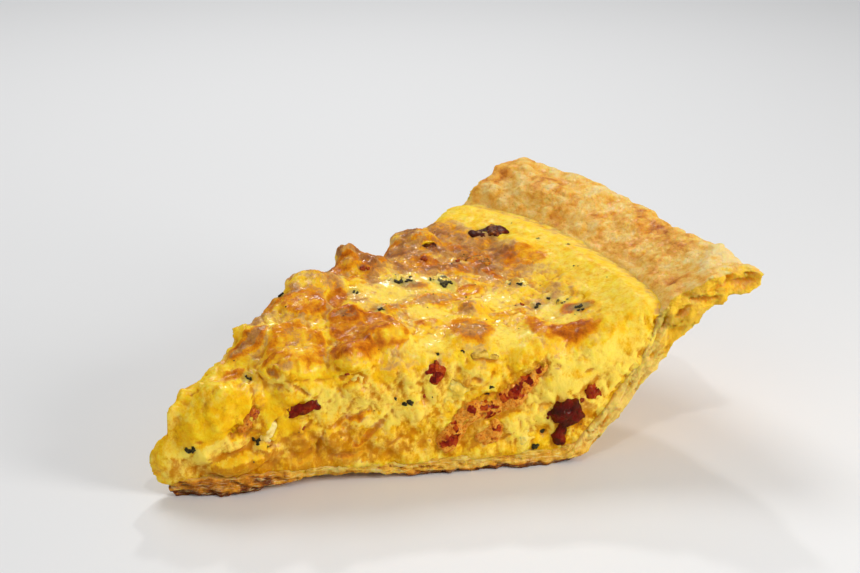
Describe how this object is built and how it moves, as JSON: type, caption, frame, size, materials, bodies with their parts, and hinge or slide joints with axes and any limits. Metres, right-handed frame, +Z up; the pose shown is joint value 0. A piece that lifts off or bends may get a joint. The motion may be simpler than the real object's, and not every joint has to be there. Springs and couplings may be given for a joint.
{
  "type": "quiche slice",
  "caption": "Wedge of savoury quiche, point to crust: flat-based flaky pastry case with a wide rim, set custard, bacon, blue cheese and onion showing at the cuts and on the browned top.",
  "frame": {"origin": "middle of the slice's footprint, on the surface it rests on", "axes": "+X from the point of the slice to the middle of its crust, +Z up, +Y to the left of someone who looks from the point to the crust"},
  "size_m": [0.1246, 0.0868, 0.0435],
  "materials": {
    "pastry": "baked flaky pastry, golden, matt, with a dull sheen on the rim",
    "custard": "set egg custard, moist, with browned lumps on top",
    "bacon": "fried streaky bacon, dark red to brown, greasy",
    "blue_cheese": "half-melted blue cheese, cream with grey-green to blue-black veins",
    "onion": "soft cooked onion, translucent cream"
  },
  "bodies": {
    "root": {"pastry_case": "pastry", "custard": "custard", "bacon_tip": "bacon", "bacon_left": "bacon", "bacon_ruby": "bacon", "bacon_strip": "bacon", "bacon_flesh": "bacon", "bacon_burgundy": "bacon", "bacon_wall": "bacon", "bacon_top_crust": "bacon", "bacon_top_edge": "bacon", "bacon_top_streak": "bacon", "bacon_far_tip": "bacon", "bacon_far_middle": "bacon", "bacon_far_crust": "bacon", "cheese_mid": "blue_cheese", "cheese_foot": "blue_cheese", "cheese_crust": "blue_cheese", "cheese_left": "blue_cheese", "cheese_top_left": "blue_cheese", "cheese_top_middle": "blue_cheese", "cheese_top_right": "blue_cheese", "cheese_top_crust": "blue_cheese", "cheese_far_tip": "blue_cheese", "cheese_far_crust": "blue_cheese", "onion_tip": "onion", "onion_curl": "onion"}
  },
  "joints": []
}
